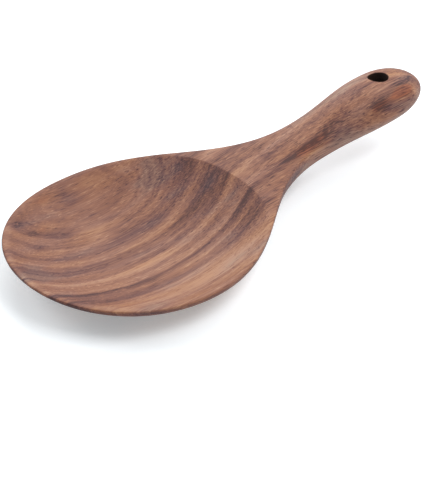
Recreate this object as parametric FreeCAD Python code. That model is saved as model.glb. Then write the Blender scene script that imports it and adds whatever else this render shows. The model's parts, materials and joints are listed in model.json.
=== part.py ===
"""Rice paddle: a shallow bowl, a neck and a rounded handle, carved from one board of hardwood.

Lengths run along X from the bowl's tip to the handle's end, widths along Y, heights up from the table.
Every cross-section is two half ellipses that meet at the edge line: a crown above it, an underside below.
"""
import FreeCAD, Part
import math
import os

# Lengths along the paddle, one after the other from the tip
TIP_TO_HEAD = 54.0
HEAD_TO_NECK = 96.0
NECK_TO_GRIP = 47.0
GRIP_TO_END = 23.0

# Widths in plan
HEAD_WIDTH = 103.0
NECK_WIDTH = 22.6
GRIP_WIDTH = 31.2

# Fullness of the plan curves: each handle's share of its span
TIP_FULLNESS = 0.56
HEAD_FULLNESS = 0.59
SHOULDER_FULLNESS = 0.434
NECK_FRONT_FULLNESS = 0.426
NECK_BACK_FULLNESS = 0.457
GRIP_FRONT_FULLNESS = 0.379
GRIP_BACK_FULLNESS = 0.518
END_FULLNESS = 0.683

# Height of the edge line, where the paddle is widest, above the table
HEAD_TO_SHOULDER = 46.0
TIP_EDGE = 15.4
HEAD_EDGE = 13.6
SHOULDER_EDGE = 16.1
NECK_EDGE = 19.1
GRIP_EDGE = 21.4
END_EDGE = 23.6

# Rise of the crown above the edge line
NECK_TO_CROWN = 38.0
RIM_CROWN = 0.5
SHOULDER_CROWN = 1.1
NECK_CROWN = 4.8
GRIP_CROWN = 10.4
END_CROWN = 8.1

# Height of the underside above the table, with a level run under the bowl to lie on
TIP_TO_FORE = 30.0
HEAD_TO_REST = 21.0
REST_LENGTH = 42.0
TIP_UNDER = 12.0
FORE_UNDER = 3.5
NECK_UNDER = 6.3
GRIP_UNDER = 12.0
END_UNDER = 14.5

# Lengths over which the two ends round off in side view
TIP_ROUNDING = 12.0
END_ROUNDING = 19.6

# Hollow of the bowl
LIP = 1.2
HOLLOW_BACK = 51.0
HOLLOW_DEPTH = 9.0
HOLLOW_ROUNDNESS = 2.4
HOLLOW_SQUARENESS = 2.65

# Hanging hole, drilled straight down through the handle
HOLE_DIAMETER = 9.6
HOLE_FROM_END = 22.2
HOLE_OFFSET = 1.5

# Construction: sections in each span of the plan curve, points across the hollow, room for cutters
TIP_SECTIONS = 9
SHOULDER_SECTIONS = 12
GRIP_SECTIONS = 6
END_SECTIONS = 8
HOLLOW_POINTS = 25
CUT_MARGIN = 4.0

HEAD = TIP_TO_HEAD
NECK = HEAD + HEAD_TO_NECK
GRIP = NECK + NECK_TO_GRIP
LENGTH = GRIP + GRIP_TO_END
SHOULDER = HEAD + HEAD_TO_SHOULDER

EDGE_LINE = [
    (0.0, TIP_EDGE),
    (HEAD, HEAD_EDGE),
    (SHOULDER, SHOULDER_EDGE),
    (NECK, NECK_EDGE),
    (GRIP, GRIP_EDGE),
    (LENGTH, END_EDGE),
]
CROWN_LINE = [
    (0.0, RIM_CROWN),
    (HEAD, RIM_CROWN),
    (SHOULDER, SHOULDER_CROWN),
    (NECK, NECK_CROWN),
    (NECK + NECK_TO_CROWN, GRIP_CROWN),
    (LENGTH, END_CROWN),
]
UNDER_LINE = [
    (0.0, TIP_UNDER),
    (TIP_TO_FORE, FORE_UNDER),
    (HEAD + HEAD_TO_REST, 0.0),
    (HEAD + HEAD_TO_REST + REST_LENGTH, 0.0),
    (NECK, NECK_UNDER),
    (GRIP, GRIP_UNDER),
    (LENGTH, END_UNDER),
]


def slopes(stations):
    """Slopes of a curve through the stations that never overshoots them: zero at a turn of the line,
    elsewhere the harmonic mean of the two chords beside the station."""
    chords = []
    for (x0, z0), (x1, z1) in zip(stations, stations[1:]):
        chords.append((z1 - z0) / (x1 - x0))
    inner = []
    for before, after in zip(chords, chords[1:]):
        inner.append(2 * before * after / (before + after) if before * after > 0 else 0.0)
    return [chords[0]] + inner + [chords[-1]]


def height(stations, x):
    """Height of a station line at x: a cubic in each span, level with the ends outside them."""
    x = min(max(x, stations[0][0]), stations[-1][0])
    rates = slopes(stations)
    span = 0
    while span < len(stations) - 2 and x > stations[span + 1][0]:
        span += 1
    (x0, z0), (x1, z1) = stations[span], stations[span + 1]
    run = x1 - x0
    t = (x - x0) / run
    z = z0 * (1 + 2 * t) * (1 - t) ** 2 + z1 * t * t * (3 - 2 * t)
    return z + run * (rates[span] * t * (1 - t) ** 2 - rates[span + 1] * t * t * (1 - t))


def rounding(x):
    """Share of the full thickness at x: quarter ellipses close the tip and the handle's end."""
    from_tip = 1 - min(x / TIP_ROUNDING, 1.0)
    from_end = 1 - min((LENGTH - x) / END_ROUNDING, 1.0)
    return math.sqrt((1 - from_tip ** 2) * (1 - from_end ** 2))


def bezier(start, first, second, end, t):
    """Point of a cubic curve, of coordinates along and across."""
    weights = ((1 - t) ** 3, 3 * t * (1 - t) ** 2, 3 * t * t * (1 - t), t ** 3)
    points = (start, first, second, end)
    along = sum(weight * point[0] for weight, point in zip(weights, points))
    across = sum(weight * point[1] for weight, point in zip(weights, points))
    return along, across


def plan_points():
    """Half outline in plan, station by station from the tip to the end: tip, widest head, neck, grip, end."""
    head, neck, grip = HEAD_WIDTH / 2, NECK_WIDTH / 2, GRIP_WIDTH / 2
    spans = [
        ((0, 0), (0, TIP_FULLNESS * head), (HEAD - HEAD_FULLNESS * TIP_TO_HEAD, head), (HEAD, head), TIP_SECTIONS),
        (
            (HEAD, head),
            (HEAD + SHOULDER_FULLNESS * HEAD_TO_NECK, head),
            (NECK - NECK_FRONT_FULLNESS * HEAD_TO_NECK, neck),
            (NECK, neck),
            SHOULDER_SECTIONS,
        ),
        (
            (NECK, neck),
            (NECK + NECK_BACK_FULLNESS * NECK_TO_GRIP, neck),
            (GRIP - GRIP_FRONT_FULLNESS * NECK_TO_GRIP, grip),
            (GRIP, grip),
            GRIP_SECTIONS,
        ),
        (
            (GRIP, grip),
            (GRIP + GRIP_BACK_FULLNESS * GRIP_TO_END, grip),
            (LENGTH, END_FULLNESS * grip),
            (LENGTH, 0),
            END_SECTIONS,
        ),
    ]
    points = [(0.0, 0.0)]
    for start, first, second, end, count in spans:
        for step in range(1, count + 1):
            points.append(bezier(start, first, second, end, step / count))
    return points


def skin(rise):
    """One side of the blank, a face lofted through half ellipses whose middle stands rise(x) off the edge.

    Each half ellipse has five poles: both edges, both corners over them and the middle. The five rows of
    poles run from the tip to the end as smooth curves, spaced by the length of the outline.
    """
    outline = plan_points()
    spacing = [0.0]
    for before, after in zip(outline, outline[1:]):
        spacing.append(spacing[-1] + math.dist(before, after))
    corner = math.sqrt(0.5)
    weights = (1, corner, 1, corner, 1)
    rows = []
    for side, lift in ((1, 0), (1, 1), (0, 1), (-1, 1), (-1, 0)):
        points = []
        for x, half_width in outline:
            points.append(FreeCAD.Vector(x, side * half_width, height(EDGE_LINE, x) + lift * rise(x)))
        row = Part.BSplineCurve()
        row.interpolate(Points=points, Parameters=spacing)
        rows.append(row)
    poles = list(zip(*[row.getPoles() for row in rows]))
    along = rows[0]
    surface = Part.BSplineSurface()
    surface.buildFromPolesMultsKnots(
        poles,
        along.getMultiplicities(),
        (3, 2, 3),
        along.getKnots(),
        (0, 1, 2),
        False,
        False,
        along.Degree,
        2,
        [weights] * len(poles),
    )
    return surface.toShape()


def crown(x):
    """Rise of the top above the edge line at x."""
    return height(CROWN_LINE, x) * rounding(x)


def drop(x):
    """Rise of the underside above the edge line at x, which is negative."""
    return (height(UNDER_LINE, x) - height(EDGE_LINE, x)) * rounding(x)


def blank():
    """The paddle before hollowing and drilling: its top and its underside, joined along the edge line."""
    shell = Part.makeShell([skin(crown), skin(drop)])
    shell.sewShape()
    return Part.makeSolid(shell)


def hollow_height(x, y):
    """Height of the hollow's floor: a dish that is round towards the tip and squarer towards the neck."""
    reach = HEAD - LIP if x < HEAD else HOLLOW_BACK
    along = abs(x - HEAD) / reach
    across = abs(y) / (HEAD_WIDTH / 2 - LIP)
    power = 2.0 if x < HEAD else 2.0 + (HOLLOW_SQUARENESS - 2.0) * along
    radius = (along ** power + across ** power) ** (1 / power)
    return height(EDGE_LINE, x) + RIM_CROWN - HOLLOW_DEPTH * (1 - radius ** HOLLOW_ROUNDNESS)


def hollow_cutter():
    """What the hollow takes away: the space over its floor, wider than the bowl all round."""
    near, far = -CUT_MARGIN, HEAD + HOLLOW_BACK + 3 * CUT_MARGIN
    side = HEAD_WIDTH / 2 + CUT_MARGIN
    rows = []
    for i in range(HOLLOW_POINTS):
        x = near + (far - near) * i / (HOLLOW_POINTS - 1)
        row = []
        for j in range(HOLLOW_POINTS):
            y = -side + 2 * side * j / (HOLLOW_POINTS - 1)
            row.append(FreeCAD.Vector(x, y, hollow_height(x, y)))
        rows.append(row)
    floor = Part.BSplineSurface()
    floor.interpolate(rows)
    return floor.toShape().extrude(FreeCAD.Vector(0, 0, NECK_EDGE + GRIP_CROWN))


def hole_cutter():
    """Drill for the hanging hole."""
    foot = FreeCAD.Vector(LENGTH - HOLE_FROM_END, HOLE_OFFSET, -CUT_MARGIN)
    return Part.makeCylinder(HOLE_DIAMETER / 2, END_EDGE + GRIP_CROWN + 2 * CUT_MARGIN, foot)


def paddle():
    """The finished paddle, with its origin on the table under the middle of its length."""
    shape = blank().cut(hollow_cutter()).cut(hole_cutter())
    solid = shape.Solids[0]
    solid.translate(FreeCAD.Vector(-LENGTH / 2, 0, 0))
    return solid


os.makedirs("parts", exist_ok=True)
paddle().exportStep("parts/paddle.step")
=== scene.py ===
"""Rice paddle carved from one board of brown hardwood, lying on a pale table under soft studio light.

The paddle is worked out in millimetres from the bowl's tip, and set into the frame in metres. Its top and
its underside are heights over grids in plan, joined along the outline and by the hole's wall.
"""
import json
import math

import bmesh
import bpy
import numpy as np
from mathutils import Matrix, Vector


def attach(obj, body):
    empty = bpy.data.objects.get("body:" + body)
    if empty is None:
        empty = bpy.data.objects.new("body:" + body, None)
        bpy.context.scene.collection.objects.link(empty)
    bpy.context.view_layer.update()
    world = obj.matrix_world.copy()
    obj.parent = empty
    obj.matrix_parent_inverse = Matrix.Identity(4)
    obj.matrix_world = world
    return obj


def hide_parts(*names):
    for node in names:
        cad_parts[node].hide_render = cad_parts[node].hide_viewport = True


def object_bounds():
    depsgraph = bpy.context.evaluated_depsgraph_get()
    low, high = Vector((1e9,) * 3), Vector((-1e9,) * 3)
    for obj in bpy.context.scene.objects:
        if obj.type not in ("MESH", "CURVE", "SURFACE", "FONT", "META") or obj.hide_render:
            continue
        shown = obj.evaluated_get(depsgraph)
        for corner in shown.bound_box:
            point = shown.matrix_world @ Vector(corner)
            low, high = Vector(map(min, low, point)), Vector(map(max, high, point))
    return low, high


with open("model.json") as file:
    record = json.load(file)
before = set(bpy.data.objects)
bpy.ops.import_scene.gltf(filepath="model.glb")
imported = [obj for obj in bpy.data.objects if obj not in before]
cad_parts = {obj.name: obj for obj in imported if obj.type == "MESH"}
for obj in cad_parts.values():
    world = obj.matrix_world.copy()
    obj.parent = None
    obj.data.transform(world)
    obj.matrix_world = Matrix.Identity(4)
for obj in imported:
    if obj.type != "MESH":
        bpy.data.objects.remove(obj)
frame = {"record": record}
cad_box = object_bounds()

# One millimetre in the frame's metres, and the length and width of the CAD part in millimetres
MM = 0.001
LENGTH, HEAD_WIDTH = (round((high - low) / MM, 1) for low, high in list(zip(*cad_box))[:2])

# Hanging hole, from the record
hanging_hole = frame["record"]["mounts"][0]
HOLE_X = hanging_hole["pos_m"][0] / MM + LENGTH / 2
HOLE_Y = hanging_hole["pos_m"][1] / MM
HOLE_RADIUS = hanging_hole["dims"]["r_mm"]

# Stations along the paddle, from the bowl's tip
HEAD = 54.0
SHOULDER = 100.0
NECK = 150.0
CROWN = 188.0
GRIP = 197.0
FORE = 30.0
REST = 75.0
REST_END = 117.0

# Widths in plan, and the fullness of the plan curves between them
NECK_WIDTH = 22.6
GRIP_WIDTH = 31.2
TIP_FULLNESS = (0.56, 0.59)
SHOULDER_FULLNESS = (0.434, 0.426)
HANDLE_FULLNESS = (0.457, 0.379)
END_FULLNESS = (0.518, 0.683)

# Heights: the bowl's rim above the edge line, the edge line above the table, the crown above the edge line,
# the underside above the table, and how far from tip and end the thickness rounds off
RIM_RISE = 0.5
EDGE_LINE = [(0, 15.4), (HEAD, 13.6), (SHOULDER, 16.1), (NECK, 19.1), (GRIP, 21.4), (LENGTH, 23.6)]
CROWN_LINE = [(0, RIM_RISE), (HEAD, RIM_RISE), (SHOULDER, 1.1), (NECK, 4.8), (CROWN, 10.4), (LENGTH, 8.1)]
UNDER_LINE = [(0, 12), (FORE, 3.5), (REST, 0), (REST_END, 0), (NECK, 6.3), (GRIP, 12), (LENGTH, 14.5)]
TIP_ROUNDING = 12.0
END_ROUNDING = 19.6

# Hollow of the bowl: a dish, round towards the tip and squarer towards the neck
LIP = 1.2
HOLLOW_BACK = 51.0
HOLLOW_DEPTH = 9.0
HOLLOW_ROUNDNESS = 2.4
HOLLOW_SQUARENESS = 2.65

# Softened edges: outer edge of the bowl, hole's edge, hollow's edge at the neck and along the sides, and how
# far from the middle line the one passes into the other, on the near side and on the far side
EDGE_EASE = 0.5
HOLE_EASE = 0.35
CREASE_EASE = 0.12
SIDE_EASE = 0.7
NEAR_CREASE_FADE = (18.0, 26.0)
FAR_CREASE_FADE = (24.0, 38.0)

# Plan grid: where the bowl's rays end at the neck, where the rays about the hole begin, counts of points
BOWL_CUT = 118.0
HANDLE_CUT = 180.0
OUTLINE_STEPS = 600
BOWL_SIDE_POINTS = 150
CUT_POINTS = 56
HOLLOW_ROWS = 46
LIP_ROWS = 16
UNDER_ROWS = 40
NECK_ROWS = 60
END_SIDE_POINTS = 56
END_ROWS = 26
WALL_ROWS = 12

# How strongly the hollow's rows gather at its edge, and the search for that edge along each ray
ROW_GATHERING = 1.5
RIM_SEARCH_START = 0.3
RIM_SEARCH_STEPS = 40

# Smallest divisor in millimetres, and the distance in metres within which points are welded
TINY = 0.001
WELD = 1e-6

# Growth rings: the pith runs along the board off its far side, from below the table up to the handle's end
PITH_ACROSS = [(0, 48.6), (HEAD, 50.2), (130, 49.9), (180, 52.6), (LENGTH, 58.9)]
PITH_HEIGHT = [(0, -28.8), (20, -23.2), (HEAD, -21.2), (104, -26.3), (130, -28), (180, -19.2), (LENGTH, 8.2)]

# Rings by their distance from the pith, as darkness from 0 to 1
RING_SPAN = (32.0, 106.0)
RINGS = [
    (33, 0.45), (38, 0.45), (41, 0.33), (43, 0.42), (46, 0.42), (47.6, 0.62), (49.3, 0.6), (51, 0.72),
    (52.4, 0.48), (53.8, 0.26), (55.3, 0.36), (58.3, 0.66), (60.5, 0.52), (62.5, 0.40), (64.6, 0.68),
    (65.8, 0.40), (67.4, 0.10), (68.6, 0.16), (70.5, 0.46), (72, 0.34), (73.7, 0.22), (74.9, 0.45),
    (76.3, 0.92), (77.6, 0.74), (79.2, 0.46), (82.3, 0.62), (84.8, 0.60), (86.6, 0.32), (91, 0.26),
    (94.5, 0.12), (98.5, 0.30), (104, 0.36),
]

# Shade that the rings gain above one half, or lose below it, at the tip, at the neck and in the handle. At
# the neck the gain is partly painted shade on the hollow's steep back wall
NO_GAIN = 0.5
TIP_RINGS = [
    (37.5, 0.5), (39.8, 0.84), (41.8, 0.5), (45.5, 0.5), (47, 0.26), (49, 0.3), (51, 0.4), (53, 0.5),
    (62, 0.5), (63.8, 0.3), (65.2, 0.5), (80.5, 0.5), (82, 0.62), (84.5, 0.6), (88, 0.5),
]
# rings at the neck, darkened further as painted shade on the hollow's steep back wall by the crease
NECK_RINGS_AND_PAINTED_SHADE = [
    (42.5, 0.5), (44.2, 0.57), (45.6, 0.6), (47, 0.52), (49, 0.52), (51, 0.5), (52.4, 0.56), (53.8, 0.58),
    (55, 0.52), (56.4, 0.54), (57.4, 0.56), (58.4, 0.54), (60, 0.74), (61.8, 0.72), (63.2, 0.6), (64.6, 0.54),
    (66, 0.54), (69.5, 0.55), (72, 0.58), (73.5, 0.5), (74.6, 0.4), (76.4, 0.46), (79, 0.44), (80.5, 0.5),
    (82, 0.54), (84.4, 0.56), (86.3, 0.76), (88, 0.66), (90.5, 0.5),
]
HANDLE_RINGS = [
    (52, 0.4), (55, 0.45), (57, 0.55), (62.5, 0.55), (64, 0.4), (65.5, 0.54), (67, 0.64), (69.5, 0.64),
    (72, 0.57), (75, 0.56), (76.4, 0.36), (79.5, 0.42), (84, 0.42), (90, 0.45),
]
GRIP_RINGS = [(73.5, 0.5), (76.3, 0.08), (77.6, 0.2), (79, 0.45), (82, 0.5)]

# Each such set, the stations between which it sets in and those between which it fades. Stations off the
# paddle mean that it is there from the tip, or stays to the end
RING_SETS = [
    (TIP_RINGS, (-2, -1), (30, 50)),
    (NECK_RINGS_AND_PAINTED_SHADE, (60, 92), (104, 112)),
    (HANDLE_RINGS, (104, 112), (250, 260)),
    (GRIP_RINGS, (128, 142), (250, 260)),
]

# Patches in the bowl and on its shoulder: place in plan, reach along and across the grain, and the darkness
# and the redness that they add
BOWL_PATCHES = [
    # dark mark by the far edge, with redder wood on both sides of it
    (49, 43, 3, 5, 0.17, -0.3),
    (53, 44, 4, 4, 0.12, -0.2),
    (51, 38.5, 4, 2, 0.15, -0.2),
    (41, 42, 8, 5, 0.0, 0.15),
    (68, 43, 10, 4, -0.15, 0.2),
    # ring that curves round towards the tip, light inside the curve
    (20.5, 35.5, 3, 2.2, 0.32, -0.2),
    (23.5, 29, 3, 1.5, 0.3, -0.1),
    (38, 23.9, 5, 1.2, 0.14, 0.1),
    (30, 30.2, 6, 2.2, -0.2, 0.3),
    # from that ring to the tip
    (20, 20, 3, 2, 0.25, 0.2),
    (33, 13, 6, 4, 0.12, 0.0),
    (8, 4, 6, 22, -0.06, -0.5),
    # middle of the bowl
    (45, 19, 7, 8, -0.15, 0.0),
    (61, 15, 10, 5, 0.16, -0.2),
    (64, 22, 8, 3.5, 0.12, -0.1),
    (61, 9.5, 12, 3, 0.13, -0.1),
    # smoky wood towards the neck, redder on the near side
    (79, 29, 5, 4, 0.06, -0.5),
    (79, 40, 5, 3.5, -0.18, -0.3),
    (88, 27, 8, 5, 0.12, -0.9),
    (88, 36, 6, 4, 0.06, -1.2),
    (97, 24, 5, 4, 0.08, -1.0),
    (99, 7, 6, 3.5, 0.14, -0.5),
    (98, -18, 6, 5, 0.06, 0.3),
    # pale wood along the near side
    (69, -25, 15, 5, -0.3, 0.0),
    (83, -21.5, 10, 5, -0.1, 0.0),
    (68, -38, 24, 9, -0.2, 0.0),
    # behind the hollow: a light place in the middle and a dark line on the near shoulder
    (112, -1, 5, 3, -0.16, 0.2),
    (106, -24, 5, 0.7, 0.4, 0.0),
]

# Patches in the handle: station, angle up from the near edge or down below it, and the same four values
HANDLE_PATCHES = [
    # painted cool reflection of the table below the near edge, painted sheen along the far side
    (135, -22, 25, 4.0, -0.05, -1.0),
    (175, -22, 25, 4.0, -0.05, -1.0),
    (205, -18, 12, 4.0, -0.05, -0.8),
    (157, 130, 20, 3.2, -0.2, -0.6),
    (187, 125, 24, 3.6, -0.3, -0.7),
    # behind the bowl
    (126, 84, 7, 6.0, 0.14, 0.0),
    (124, 52, 10, 1.2, 0.1, 0.0),
    # dark red streak that climbs along the near side, with the wood below it
    (140, 29, 9, 2.0, 0.4, 0.6),
    (144, 39, 11, 2.2, 0.65, 0.9),
    (153, 42, 7, 2.4, 0.45, 0.7),
    (158, 58, 9, 2.2, 0.35, 0.3),
    (166, 54, 5, 1.8, 0.25, 0.3),
    (143, 15, 9, 2.0, -0.5, 0.0),
    (163, 20, 12, 5.0, 0.2, -0.2),
    (158, 8, 22, 3.5, 0.0, -0.5),
    # red patch by the handle's end, with dark wood round it and pale wood behind it
    (200, 41, 9, 3.6, 0.2, 1.8),
    (185, 40, 5.5, 3.0, 0.75, 1.0),
    (193, 52, 7, 1.3, 0.35, -0.2),
    (203, 60, 8, 1.2, 0.5, -0.2),
    (211, 64, 4, 1.5, 0.5, -0.2),
    (205, 47, 6, 2.4, 0.25, 0.2),
    (190, 22, 6, 2.4, 0.35, -0.7),
    (201, 14, 8, 3.0, 0.2, -0.7),
    (210, 26, 4, 3.0, -0.25, -0.4),
    # dark lines before the hole, lighter wood behind it
    (168, 72, 8, 1.2, 0.25, 0.0),
    (178, 79, 6, 1.0, 0.25, 0.0),
    (184, 88, 6, 1.2, 0.35, 0.0),
    (208, 84, 7, 5.0, -0.25, 0.0),
]

# Darkness that oil adds on end grain, which is also painted shade on the hollow's steep wall at the neck and
# on the tip's side; and painted shade below the bowl's edge as its side turns to face down
END_GRAIN_AND_PAINTED_SHADE = 0.9
END_GRAIN_AND_SHADE_LIMIT = 0.3
PAINTED_EDGE_SHADE = 0.35
PAINTED_EDGE_SHADE_DEPTH = 3.0
PAINTED_EDGE_SHADE_TURN = (-0.3, 0.3)

# Noise drawn out along the grain: length and width of its lumps in millimetres, offset and detail
WANDER_NOISE = (45, 14, 3.1, 2.0)
FRAY_NOISE = (24, 1.1, 7.7, 2.0)
STRENGTH_NOISE = (35, 7, 6.2, 2.0)
FIBRE_NOISE = (24, 0.55, 1.9, 1.0)
PORE_NOISE = (6, 0.45, 5.3, 1.0)
FLECK_NOISE = (5, 0.5, 9.6, 1.0)
HUE_NOISE = (38, 7, 2.4, 2.0)

# How far the rings wander and fray to either side, in millimetres
WANDER = 1.5
FRAY = 0.7

# Rings fainter or stronger by place: the shade that stays as it is, a range of noise and the strengths there
MEAN_SHADE = 0.42
STRENGTH = (0.32, 0.68, 0.65, 1.28)

# Fine lines inside the rings: length and spacing in millimetres, detail and roughness of their noise
LINE_LENGTH = 45
LINE_SPACING = 1.3
LINE_DETAIL = 4.0
LINE_ROUGHNESS = 0.6

# Shade of lines, fibres and pores: two stations and the shades there. Flecks lighten all places alike
LINE_SHADE = (105, 150, 1.1, 0.3)
FIBRE_SHADE = (30, 120, 0.32, 0.9)
PORE_SHADE = (30, 120, 0.25, 0.55)
FLECK_SHADE = -0.32

# Ranges of noise over which pores and flecks appear, and that of the fibres with the shares of a patch there
PORE_CUT = (0.6, 0.7)
FLECK_CUT = (0.62, 0.72)
TEARING = (0.3, 0.7, 0.6, 1.4)

# Hue: how far it drifts, where it starts, and what a patch's redness adds to it
HUE_DRIFT = 1.6
HUE_START = -0.4
PATCH_HUE = 0.6

# Wood colours from light to dark
WOOD_COLOURS = [
    (0.0, (0.372, 0.194, 0.114)),
    (0.4, (0.240, 0.104, 0.064)),
    (0.75, (0.138, 0.055, 0.043)),
    (1.0, (0.068, 0.029, 0.027)),
]

# What slow changes of hue multiply the colour by, from smoky to red
HUES = [
    (0.0, (0.88, 1.04, 1.24)),
    (0.2, (0.96, 1.0, 1.1)),
    (0.4, (1.0, 1.0, 1.0)),
    (0.7, (1.02, 0.99, 0.88)),
    (1.0, (1.08, 0.76, 0.54)),
]

# Finish: roughness of light and of dark wood, gloss, depth of the pores in millimetres and their strength
WOOD_ROUGHNESS = (0.5, 0.62)
WOOD_GLOSS = 0.24
PORE_DEPTH = 0.1
PORE_STRENGTH = 0.25

# Dark wall of the hole, and how far beyond the hole's radius it passes into the wood, in millimetres
BORED_COLOUR = (0.012, 0.009, 0.008)
BORED_EDGE = (-0.02, 0.18)

# Light: strength of the white surroundings, size of the soft boxes in metres, and each by its place in metres
# and its power in watts
SURROUNDINGS = 0.39
SOFT_BOX_SIZE = 0.6
SOFT_BOXES = {
    "right_light": ((0.90, 0.0, 0.63), 4.8),
    "back_light": ((0.45, 0.78, 0.63), 5.0),
    "left_light": ((-0.45, 0.78, 0.63), 5.0),
    "front_light": ((0.28, -0.48, 0.95), 6.2),
}

# Table: reach to each side in metres, and its finish
TABLE_REACH = 3.0
TABLE_COLOUR = (0.87, 0.895, 0.92)
TABLE_ROUGHNESS = 0.9
GLOW_COLOUR = (0.87, 0.97, 1.0)
TABLE_GLOW = 0.255

# Camera: sensor and lens in millimetres, the point that it stands off from and how far, in metres, and the
# azimuth and elevation at which it stands and along which it looks
SENSOR = 36.0
LENS = 90.473
STAND_OFF_POINT = (-0.01, 0, 0.015)
STAND_OFF = 0.527637
STANDING = (-41.82, 33.635)
LOOKING = (-41.628, 36.45)


def cubic(points, t):
    """Cubic curve of four control points: each weighs (1-t)^3, 3t(1-t)^2, 3t^2(1-t) and t^3."""
    weights = np.stack([(1 - t) ** 3, 3 * t * (1 - t) ** 2, 3 * t**2 * (1 - t), t**3], axis=-1)
    return weights @ np.array(points, float)


def half_outline():
    """Half outline in plan, from tip to end: cubic curves by way of the widest head, neck and grip."""
    head, neck, grip = HEAD_WIDTH / 2, NECK_WIDTH / 2, GRIP_WIDTH / 2
    shoulder, handle, end = NECK - HEAD, GRIP - NECK, LENGTH - GRIP
    spans = [
        [(0, 0), (0, TIP_FULLNESS[0] * head), (HEAD * (1 - TIP_FULLNESS[1]), head), (HEAD, head)],
        [
            (HEAD, head),
            (HEAD + SHOULDER_FULLNESS[0] * shoulder, head),
            (NECK - SHOULDER_FULLNESS[1] * shoulder, neck),
            (NECK, neck),
        ],
        [
            (NECK, neck),
            (NECK + HANDLE_FULLNESS[0] * handle, neck),
            (GRIP - HANDLE_FULLNESS[1] * handle, grip),
            (GRIP, grip),
        ],
        [(GRIP, grip), (GRIP + END_FULLNESS[0] * end, grip), (LENGTH, END_FULLNESS[1] * grip), (LENGTH, 0)],
    ]
    t = np.linspace(0, 1, OUTLINE_STEPS)
    return np.concatenate([cubic(spans[0], t)[:1]] + [cubic(span, t)[1:] for span in spans])


OUTLINE = half_outline()
OUTLINE_RUN = np.concatenate([[0], np.cumsum(np.hypot(*np.diff(OUTLINE, axis=0).T))])
OUTLINE_TURN = np.gradient(OUTLINE[:, 1] ** 2, OUTLINE[:, 0]) / 2


def half_width(x):
    """Half width of the paddle at x."""
    return np.interp(x, OUTLINE[:, 0], OUTLINE[:, 1])


def outline_points(x_from, x_to, count):
    """Points of the half outline between two stations, evenly spaced along its length."""
    ends = np.interp([x_from, x_to], OUTLINE[:, 0], OUTLINE_RUN)
    run = np.linspace(*ends, count)
    return np.stack([np.interp(run, OUTLINE_RUN, OUTLINE[:, axis]) for axis in (0, 1)], axis=-1)


def inset(x, y):
    """Distance in plan from the outline: half width squared less y squared, over its gradient's length."""
    width = half_width(x)
    turn = np.interp(x, OUTLINE[:, 0], OUTLINE_TURN)
    return np.maximum(width**2 - y**2, 0) / np.maximum(2 * np.hypot(turn, y), TINY)


def station_line(stations, x):
    """Value of a line through stations at x: a cubic in each span, whose slope at a station is the harmonic
    mean of the two chords beside it, and zero at a turn."""
    at, value = np.array(stations, float).T
    chord = np.diff(value) / np.diff(at)
    before, after = chord[:-1], chord[1:]
    onward = before * after > 0
    mean = 2 * before * after / np.where(onward, before + after, 1)
    slope = np.concatenate([chord[:1], np.where(onward, mean, 0), chord[-1:]])
    x = np.clip(x, at[0], at[-1])
    span = np.clip(np.searchsorted(at, x) - 1, 0, len(chord) - 1)
    run = at[span + 1] - at[span]
    t = (x - at[span]) / run
    level = value[span] * (1 + 2 * t) * (1 - t) ** 2 + value[span + 1] * t**2 * (3 - 2 * t)
    return level + run * (slope[span] * t * (1 - t) ** 2 - slope[span + 1] * t**2 * (1 - t))


def smooth_step(low, high, x):
    """Zero up to low, one from high, and a cubic without corners between."""
    t = np.clip((x - low) / (high - low), 0, 1)
    return t * t * (3 - 2 * t)


def quarter_round(t):
    """Quarter circle: rises from zero straight up at t = 0 and levels out at one for t = 1 and beyond."""
    return np.sqrt(1 - (1 - np.clip(t, 0, 1)) ** 2)


def swell(x, y):
    """Share of the full thickness at a plan point: half ellipse across, quarter ellipses at both ends."""
    across = np.sqrt(np.clip(1 - (y / np.maximum(half_width(x), TINY)) ** 2, 0, 1))
    return across * quarter_round(x / TIP_ROUNDING) * quarter_round((LENGTH - x) / END_ROUNDING)


def edge_ease(x):
    """Radius that softens the outer edge: full round the bowl, fading to nothing at the neck."""
    return EDGE_EASE * (1 - smooth_step(SHOULDER, NECK, x))


def eased_edge(x):
    """Height of the outer edge: the edge line, lowered round the bowl by the radius that softens it."""
    return station_line(EDGE_LINE, x) - edge_ease(x)


def board_top(x, y):
    """Top before hollowing: crown over the edge line, brought down to the outer edge by a quarter round."""
    low = eased_edge(x)
    crown = station_line(EDGE_LINE, x) + station_line(CROWN_LINE, x) * swell(x, y)
    return low + (crown - low) * quarter_round(inset(x, y) / np.maximum(edge_ease(x), TINY))


def hollow_floor(x, y):
    """Floor of the hollow: the rim less a depth that fades outwards as one less a power of the radius, where
    the radius is that of a rounded square that gets squarer towards the neck."""
    ahead = x < HEAD
    along = np.abs(x - HEAD) / np.where(ahead, HEAD - LIP, HOLLOW_BACK)
    across = np.abs(y) / (HEAD_WIDTH / 2 - LIP)
    power = np.where(ahead, 2, 2 + (HOLLOW_SQUARENESS - 2) * along)
    radius = (along**power + across**power) ** (1 / power)
    rim = station_line(EDGE_LINE, x) + RIM_RISE
    return rim - HOLLOW_DEPTH * (1 - radius**HOLLOW_ROUNDNESS)


def hole_drop(x, y):
    """How far the hole's softened edge falls: a quarter circle over its last stretch before the wall."""
    beyond = np.hypot(x - HOLE_X, y - HOLE_Y) - HOLE_RADIUS
    return HOLE_EASE * (1 - quarter_round(beyond / HOLE_EASE))


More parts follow.
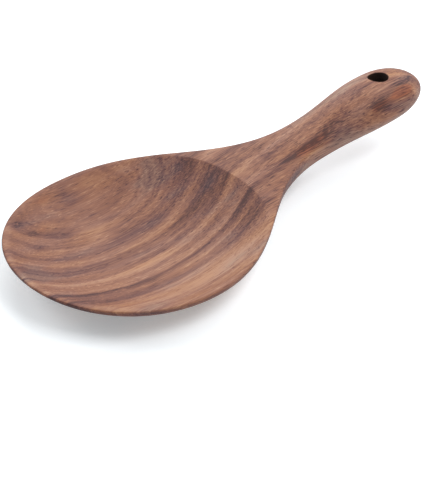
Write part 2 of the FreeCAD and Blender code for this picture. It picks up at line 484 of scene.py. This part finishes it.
def top_height(x, y):
    """Top of the paddle: the lower of the board's top and the hollow's floor, less the hole's softened edge.

    The two pass into each other where they differ by less than a band, narrow at the neck and wider along
    the sides: there the top loses a quarter of the band times the square of their overlap.
    """
    board, floor = board_top(x, y), hollow_floor(x, y)
    faded = np.where(y < 0, smooth_step(*NEAR_CREASE_FADE, -y), smooth_step(*FAR_CREASE_FADE, y))
    crisp = smooth_step(HEAD, SHOULDER, x) * (1 - faded)
    ease = SIDE_EASE + (CREASE_EASE - SIDE_EASE) * crisp
    overlap = np.maximum(1 - np.abs(board - floor) / ease, 0)
    return np.minimum(board, floor) - ease * overlap**2 / 4 - hole_drop(x, y)


def under_height(x, y):
    """Underside: from the outer edge down to the line under the middle, plus the hole's softened edge."""
    low = eased_edge(x)
    return low - (low - station_line(UNDER_LINE, x)) * swell(x, y) + hole_drop(x, y)


def rim_share(rays):
    """Share of each ray from the hollow's middle at which its floor meets the board's top, by halving."""
    inner, outer = np.full(len(rays), RIM_SEARCH_START), np.ones(len(rays))
    for _ in range(RIM_SEARCH_STEPS):
        middle = (inner + outer) / 2
        x, y = HEAD + middle * rays[:, 0], middle * rays[:, 1]
        below = hollow_floor(x, y) < board_top(x, y)
        inner, outer = np.where(below, middle, inner), np.where(below, outer, middle)
    return inner


def across_shares():
    """Shares of the half width from one edge to the other, closer together towards both: a sine."""
    return np.sin(np.linspace(-math.pi / 2, math.pi / 2, CUT_POINTS + 1))


def cut_line(x):
    """Points straight across the paddle at x."""
    across = across_shares()
    return np.stack([np.full_like(across, x), half_width(x) * across], axis=-1)


def mirrored(points):
    """The same points on the other side of the paddle."""
    return points * np.array([1, -1])


def both_ends_dense(count):
    """Shares from zero to one that crowd at both ends: half of one less the cosine."""
    return (1 - np.cos(np.linspace(0, math.pi, count + 1))) / 2


def bowl_plan():
    """Plan grids of the bowl, top and underside: rays from the hollow's middle to the outline and the cut.

    The rows of the top gather at the hollow's edge and at the outline, those of the underside at the outline.
    """
    side = outline_points(0, BOWL_CUT, BOWL_SIDE_POINTS + 1)
    border = np.concatenate([cut_line(BOWL_CUT), side[-2::-1], mirrored(side)[1:]])
    middle = np.array([HEAD, 0])
    rays = border - middle
    rim = rim_share(rays)
    floor_rows = 1 - (1 - np.linspace(0, 1, HOLLOW_ROWS + 1)) ** ROW_GATHERING
    lip_rows = both_ends_dense(LIP_ROWS)[1:]
    shares = np.concatenate([floor_rows[:, None] * rim, rim + lip_rows[:, None] * (1 - rim)])
    under_rows = np.sin(np.linspace(0, math.pi / 2, UNDER_ROWS + 1))
    return middle + shares[..., None] * rays, middle + under_rows[:, None, None] * rays


def neck_plan():
    """Plan grid of the neck: lines along it at fixed shares of its width, between the two sets of rays."""
    stations = np.linspace(BOWL_CUT, HANDLE_CUT, NECK_ROWS + 1)[:, None]
    y = half_width(stations) * across_shares()
    return np.stack([np.broadcast_to(stations, y.shape), y], axis=-1)


def handle_end_plan():
    """Plan grid of the handle's end: rays from the hole's wall to the cut and the outline, whose rows gather
    at both ends."""
    side = outline_points(HANDLE_CUT, LENGTH, END_SIDE_POINTS + 1)
    border = np.concatenate([cut_line(HANDLE_CUT)[::-1], mirrored(side)[1:], side[-2::-1]])
    hole = np.array([HOLE_X, HOLE_Y])
    outward = border - hole
    wall = hole + HOLE_RADIUS * outward / np.linalg.norm(outward, axis=-1, keepdims=True)
    shares = both_ends_dense(END_ROWS)[:, None, None]
    return wall + shares * (border - wall)


def lifted(plan, height):
    """Grid of points in space over a plan grid."""
    x, y = plan[..., 0], plan[..., 1]
    return np.stack([x, y, height(x, y)], axis=-1)


def hole_wall(plan):
    """Wall of the hanging hole: straight down from the top's softened edge to the underside's."""
    top, under = lifted(plan[0], top_height), lifted(plan[0], under_height)
    return top + np.linspace(0, 1, WALL_ROWS + 1)[:, None, None] * (under - top)


def grid_faces(rows, columns, start):
    """Corner numbers of the quads of a grid whose points are numbered row by row from start."""
    corner = start + np.arange(rows - 1)[:, None] * columns + np.arange(columns - 1)
    return np.stack([corner, corner + columns, corner + columns + 1, corner + 1], axis=-1).reshape(-1, 4)


def joined_mesh(name, grids):
    """One mesh of several grids, welded where their points coincide, with its faces turned outwards."""
    points = np.concatenate([grid.reshape(-1, 3) for grid in grids])
    starts = np.cumsum([0] + [grid.shape[0] * grid.shape[1] for grid in grids])
    quads = np.concatenate([grid_faces(*grid.shape[:2], start) for grid, start in zip(grids, starts)])
    placed = (points - np.array([LENGTH / 2, 0, 0])) * MM
    mesh = bpy.data.meshes.new(name)
    mesh.from_pydata(placed, [], quads)
    welded = bmesh.new()
    welded.from_mesh(mesh)
    bmesh.ops.remove_doubles(welded, verts=welded.verts, dist=WELD)
    bmesh.ops.recalc_face_normals(welded, faces=welded.faces)
    welded.to_mesh(mesh)
    welded.free()
    mesh.polygons.foreach_set("use_smooth", np.ones(len(mesh.polygons), bool))
    return mesh


def carved_paddle():
    """The paddle: bowl, neck and handle's end, each a top and an underside, and the hole's wall."""
    bowl_top, bowl_under = bowl_plan()
    neck, handle_end = neck_plan(), handle_end_plan()
    grids = [
        lifted(bowl_top, top_height),
        lifted(bowl_under, under_height),
        lifted(neck, top_height),
        lifted(neck, under_height),
        lifted(handle_end, top_height),
        lifted(handle_end, under_height),
        hole_wall(handle_end),
    ]
    piece = bpy.data.objects.new("carved_paddle", joined_mesh("carved_paddle", grids))
    bpy.context.scene.collection.objects.link(piece)
    return piece


def grain_place(points):
    """Place of each point in the tree: along the board, and across and up from the pith at that station."""
    x, y, z = points.T
    return np.stack([x, y - station_line(PITH_ACROSS, x), z - station_line(PITH_HEIGHT, x)], axis=-1)


def end_grain_and_painted_shade(points, normals):
    """Darkness by how far the surface faces along the board, from oil in end grain and painted shade on the
    hollow's steep wall at the neck and on the tip's side; and painted shade on the side below the bowl's
    edge, fading inwards under the bowl."""
    facing_along, _, facing_up = normals.T
    x, y, _ = points.T
    end_grain_and_shade = np.minimum(facing_along**2, END_GRAIN_AND_SHADE_LIMIT)
    below_edge = np.exp(-inset(x, y) / PAINTED_EDGE_SHADE_DEPTH) * smooth_step(*PAINTED_EDGE_SHADE_TURN, -facing_up)
    return END_GRAIN_AND_PAINTED_SHADE * end_grain_and_shade + PAINTED_EDGE_SHADE * below_edge * (1 - smooth_step(SHOULDER, NECK, x))


def soft_patch(points, centre, length, width):
    """Share of a patch at each point: one at its centre, falling off as a bell along and across the grain."""
    along, across, up = (points - centre).T
    return np.exp(-((along / length) ** 2) - (across**2 + up**2) / width**2)


def handle_point(x, angle):
    """Point of the handle's surface at a station, at an angle up from the near edge or down below it."""
    y = -half_width(x) * math.cos(math.radians(angle))
    height = under_height if angle < 0 else top_height
    return np.array([x, y, height(x, y)])


def wood_figure_and_painted_light(points):
    """Darkness and redness that all the patches add at each point, some of them painted sheen and painted
    reflection, and a third number left at zero.
    """
    placed = [(np.array([x, y, top_height(x, y)]), *rest) for x, y, *rest in BOWL_PATCHES]
    placed += [(handle_point(x, angle), *rest) for x, angle, *rest in HANDLE_PATCHES]
    figure_and_painted_light = np.zeros_like(points)
    for centre, length, width, darkness, redness in placed:
        figure_and_painted_light += soft_patch(points, centre, length, width)[:, None] * np.array([darkness, redness, 0])
    return figure_and_painted_light


def mark_wood_and_painted_light(mesh):
    """Give every point of the mesh, for the wood to read, its place in the tree and its figure: darkness and
    redness of the patches, some of them painted sheen and painted reflection, and darkness where it faces
    along the board or lies below the bowl's edge, partly oil in end grain and partly painted shade."""
    placed = np.empty(len(mesh.vertices) * 3)
    mesh.vertices.foreach_get("co", placed)
    points = placed.reshape(-1, 3) / MM + np.array([LENGTH / 2, 0, 0])
    normals = np.empty(len(mesh.vertices) * 3)
    mesh.vertices.foreach_get("normal", normals)
    grain = mesh.attributes.new("grain", "FLOAT_VECTOR", "POINT")
    grain.data.foreach_set("vector", grain_place(points).ravel())
    marks = wood_figure_and_painted_light(points)
    # third number: oil in end grain together with painted shade on the hollow's wall, the tip's side and
    # below the bowl's edge
    marks[:, 2] = end_grain_and_painted_shade(points, normals.reshape(-1, 3))
    figure_and_painted_light = mesh.attributes.new("figure_and_painted_light", "FLOAT_VECTOR", "POINT")
    figure_and_painted_light.data.foreach_set("vector", marks.ravel())


def connect(tree, value, socket):
    """Set an input to a value, or link it to another node's output."""
    if isinstance(value, bpy.types.NodeSocket):
        tree.links.new(value, socket)
    else:
        socket.default_value = value


def node(tree, kind, inputs, **settings):
    """New node with its settings, and each input set or linked."""
    made = tree.nodes.new(kind)
    for name, value in settings.items():
        setattr(made, name, value)
    for name, value in inputs.items():
        connect(tree, value, made.inputs[name])
    return made


def sums(tree, operation, *values):
    """Output of a math node."""
    return node(tree, "ShaderNodeMath", dict(enumerate(values)), operation=operation).outputs[0]


def vector_sums(tree, operation, *values):
    """Output of a vector math node: a length is a number, and the others are vectors."""
    made = node(tree, "ShaderNodeVectorMath", dict(enumerate(values)), operation=operation)
    return made.outputs["Value" if operation == "LENGTH" else "Vector"]


def remap(tree, value, low, high, to_low=0.0, to_high=1.0, curve="LINEAR"):
    """Output of a node that carries one range onto another and stays within it."""
    inputs = {"Value": value, "From Min": low, "From Max": high, "To Min": to_low, "To Max": to_high}
    return node(tree, "ShaderNodeMapRange", inputs, interpolation_type=curve).outputs[0]


def streaks(tree, board, length, width, offset, detail):
    """Noise drawn out along the board: its lumps are about so long and so wide, in millimetres."""
    scale = (1 / length, 1 / width, 1 / width)
    stretched = vector_sums(tree, "MULTIPLY_ADD", board, scale, (offset, offset, offset))
    return node(tree, "ShaderNodeTexNoise", {"Vector": stretched, "Scale": 1.0, "Detail": detail}).outputs[0]


def swing(tree, noise, reach):
    """Noise from zero to one carried onto a swing to either side of zero."""
    return sums(tree, "MULTIPLY_ADD", noise, 2 * reach, -reach)


def shaded(tree, shade, noise, strength):
    """Shade with a noise added about its middle, in some strength."""
    return sums(tree, "MULTIPLY_ADD", sums(tree, "SUBTRACT", noise, 0.5), strength, shade)


def ramp(tree, value, stops):
    """Colour ramp through stops of place and colour."""
    made = node(tree, "ShaderNodeValToRGB", {"Fac": value})
    elements = made.color_ramp.elements
    while len(elements) < len(stops):
        elements.new(1.0)
    for element, (place, colour) in zip(elements, stops):
        element.position = place
        element.color = (*colour, 1)
    return made.outputs["Color"]


def attribute(tree, name):
    """What the mesh's points carry under a name."""
    return node(tree, "ShaderNodeAttribute", {}, attribute_name=name).outputs["Vector"]


def split(tree, vector):
    """The three numbers of a vector."""
    return node(tree, "ShaderNodeSeparateXYZ", {0: vector}).outputs


def ring_shade(tree, radius, rings):
    """Darkness of the growth rings at a distance from the pith."""
    low, high = RING_SPAN
    stops = [((at - low) / (high - low), (dark, dark, dark)) for at, dark in rings]
    return ramp(tree, remap(tree, radius, low, high), stops)


def growth_rings(tree, board, along, radius):
    """Darkness of the rings, with what they gain or lose at the tip, the neck and the handle, stronger in
    some places along the grain and fainter in others. The neck's gain is partly painted shade on the hollow's
    steep back wall."""
    shade = ring_shade(tree, radius, RINGS)
    for rings, arrive, leave in RING_SETS:
        gain = sums(tree, "SUBTRACT", ring_shade(tree, radius, rings), NO_GAIN)
        arrived = remap(tree, along, *arrive, curve="SMOOTHSTEP")
        staying = remap(tree, along, *leave, 1, 0, curve="SMOOTHSTEP")
        shade = sums(tree, "MULTIPLY_ADD", gain, sums(tree, "MULTIPLY", arrived, staying), shade)
    strength = remap(tree, streaks(tree, board, *STRENGTH_NOISE), *STRENGTH)
    return sums(tree, "MULTIPLY_ADD", sums(tree, "SUBTRACT", shade, MEAN_SHADE), strength, MEAN_SHADE)


def ring_lines(tree, along, radius):
    """Noise in fine lines that follow the rings."""
    layers = {
        "X": sums(tree, "MULTIPLY", along, 1 / LINE_LENGTH),
        "Y": sums(tree, "MULTIPLY", radius, 1 / LINE_SPACING),
    }
    inputs = {
        "Vector": node(tree, "ShaderNodeCombineXYZ", layers).outputs[0],
        "Scale": 1.0,
        "Detail": LINE_DETAIL,
        "Roughness": LINE_ROUGHNESS,
    }
    return node(tree, "ShaderNodeTexNoise", inputs).outputs[0]


def bored_share(tree, place):
    """One on the hanging hole's wall, zero on the wood about it."""
    hole_middle = ((HOLE_X - LENGTH / 2) * MM, HOLE_Y * MM, 0)
    level = vector_sums(tree, "MULTIPLY", vector_sums(tree, "SUBTRACT", place, hole_middle), (1, 1, 0))
    inner, outer = ((HOLE_RADIUS + beyond) * MM for beyond in BORED_EDGE)
    return remap(tree, vector_sums(tree, "LENGTH", level), inner, outer, 1, 0)


def brown_hardwood():
    """Oiled hardwood: growth rings about the pith, frayed along the grain, with fine lines, fibres, patches,
    open pores and light flecks, and slow changes of hue. The points' figure also brings painted shade,
    painted sheen and painted reflection."""
    material = bpy.data.materials.new("brown_hardwood")
    material.use_nodes = True
    tree = material.node_tree
    shader = tree.nodes["Principled BSDF"]
    place = node(tree, "ShaderNodeTexCoord", {}).outputs["Object"]
    board = vector_sums(tree, "MULTIPLY", place, (1 / MM, 1 / MM, 1 / MM))
    grain = attribute(tree, "grain")
    along = split(tree, grain)["X"]
    radius = vector_sums(tree, "LENGTH", vector_sums(tree, "MULTIPLY", grain, (0, 1, 1)))
    wander = swing(tree, streaks(tree, board, *WANDER_NOISE), WANDER)
    fray = swing(tree, streaks(tree, board, *FRAY_NOISE), FRAY)
    frayed = sums(tree, "ADD", radius, sums(tree, "ADD", wander, fray))
    # figure: patch darkness and redness, some of them painted sheen and painted reflection, then oil in end
    # grain with painted shade
    patches_and_painted_light = split(tree, attribute(tree, "figure_and_painted_light"))
    fibres = streaks(tree, board, *FIBRE_NOISE)
    pores = remap(tree, streaks(tree, board, *PORE_NOISE), *PORE_CUT)
    flecks = remap(tree, streaks(tree, board, *FLECK_NOISE), *FLECK_CUT)

    shade = growth_rings(tree, board, along, frayed)
    shade = shaded(tree, shade, ring_lines(tree, along, frayed), remap(tree, along, *LINE_SHADE))
    shade = shaded(tree, shade, fibres, remap(tree, along, *FIBRE_SHADE))
    # the third number, oil in end grain with painted shade, goes in untorn
    torn_patches_and_painted_shade = sums(tree, "MULTIPLY_ADD", patches_and_painted_light["X"], remap(tree, fibres, *TEARING), patches_and_painted_light["Z"])
    shade = sums(tree, "ADD", shade, torn_patches_and_painted_shade)
    shade = sums(tree, "MULTIPLY_ADD", pores, remap(tree, along, *PORE_SHADE), shade)
    shade = sums(tree, "MULTIPLY_ADD", flecks, FLECK_SHADE, shade)

    drift = sums(tree, "MULTIPLY_ADD", streaks(tree, board, *HUE_NOISE), HUE_DRIFT, HUE_START)
    hue = ramp(tree, sums(tree, "MULTIPLY_ADD", patches_and_painted_light["Y"], PATCH_HUE, drift), HUES)
    wood = vector_sums(tree, "MULTIPLY", ramp(tree, shade, WOOD_COLOURS), hue)
    colours = {"Factor": bored_share(tree, place), "A": wood, "B": (*BORED_COLOUR, 1)}
    colour = node(tree, "ShaderNodeMix", colours, data_type="RGBA").outputs["Result"]
    relief = {
        "Height": sums(tree, "MULTIPLY", pores, -1.0),
        "Strength": PORE_STRENGTH,
        "Distance": PORE_DEPTH * MM,
    }
    connect(tree, colour, shader.inputs["Base Color"])
    connect(tree, remap(tree, shade, 0, 1, *WOOD_ROUGHNESS), shader.inputs["Roughness"])
    connect(tree, node(tree, "ShaderNodeBump", relief).outputs[0], shader.inputs["Normal"])
    shader.inputs["Specular IOR Level"].default_value = WOOD_GLOSS
    return material


def pale_table():
    """Plain pale finish with a faint glow of its own, which keeps its shadows light."""
    material = bpy.data.materials.new("pale_table")
    material.use_nodes = True
    shader = material.node_tree.nodes["Principled BSDF"]
    shader.inputs["Base Color"].default_value = (*TABLE_COLOUR, 1)
    shader.inputs["Roughness"].default_value = TABLE_ROUGHNESS
    shader.inputs["Emission Color"].default_value = (*GLOW_COLOUR, 1)
    shader.inputs["Emission Strength"].default_value = TABLE_GLOW
    return material


def table_top():
    """Table: a wide flat sheet at the height of the paddle's lowest point."""
    reach = TABLE_REACH
    mesh = bpy.data.meshes.new("table_top")
    corners = [(-reach, -reach, 0), (reach, -reach, 0), (reach, reach, 0), (-reach, reach, 0)]
    mesh.from_pydata(corners, [], [(0, 1, 2, 3)])
    mesh.materials.append(pale_table())
    table = bpy.data.objects.new("table_top", mesh)
    bpy.context.scene.collection.objects.link(table)
    return table


def direction(azimuth, elevation):
    """Unit vector towards a viewer: azimuth 0 stands in front, at -Y, and turns towards +X."""
    turn, rise = math.radians(azimuth), math.radians(elevation)
    return Vector((math.sin(turn) * math.cos(rise), -math.cos(turn) * math.cos(rise), math.sin(rise)))


def turned_along(line):
    """Turn of a lamp or a camera that faces along a line."""
    return line.to_track_quat("-Z", "Y").to_euler()


def soft_box(name, place, power):
    """Square soft light at a place, turned to the paddle's middle."""
    light = bpy.data.lights.new(name, "AREA")
    light.size = SOFT_BOX_SIZE
    light.energy = power
    lamp = bpy.data.objects.new(name, light)
    lamp.location = place
    lamp.rotation_euler = turned_along(-Vector(place))
    bpy.context.scene.collection.objects.link(lamp)


def studio_light():
    """White surroundings and soft boxes: three behind the paddle, from right to left, and one before it."""
    world = bpy.data.worlds.new("studio")
    world.use_nodes = True
    background = world.node_tree.nodes["Background"]
    background.inputs["Color"].default_value = (1, 1, 1, 1)
    background.inputs["Strength"].default_value = SURROUNDINGS
    bpy.context.scene.world = world
    for name, (place, power) in SOFT_BOXES.items():
        soft_box(name, place, power)


def photo_camera():
    """Camera at the photograph's viewing angle."""
    camera = bpy.data.cameras.new("photo_camera")
    camera.sensor_fit = "AUTO"
    camera.sensor_width = SENSOR
    camera.lens = LENS
    viewer = bpy.data.objects.new("photo_camera", camera)
    viewer.location = Vector(STAND_OFF_POINT) + STAND_OFF * direction(*STANDING)
    viewer.rotation_euler = turned_along(-direction(*LOOKING))
    bpy.context.scene.collection.objects.link(viewer)
    bpy.context.scene.camera = viewer


paddle = carved_paddle()
mark_wood_and_painted_light(paddle.data)
paddle.data.materials.append(brown_hardwood())
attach(paddle, "root")
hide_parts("paddle")
table_top()
studio_light()
photo_camera()
bpy.context.scene.view_settings.view_transform = "Standard"
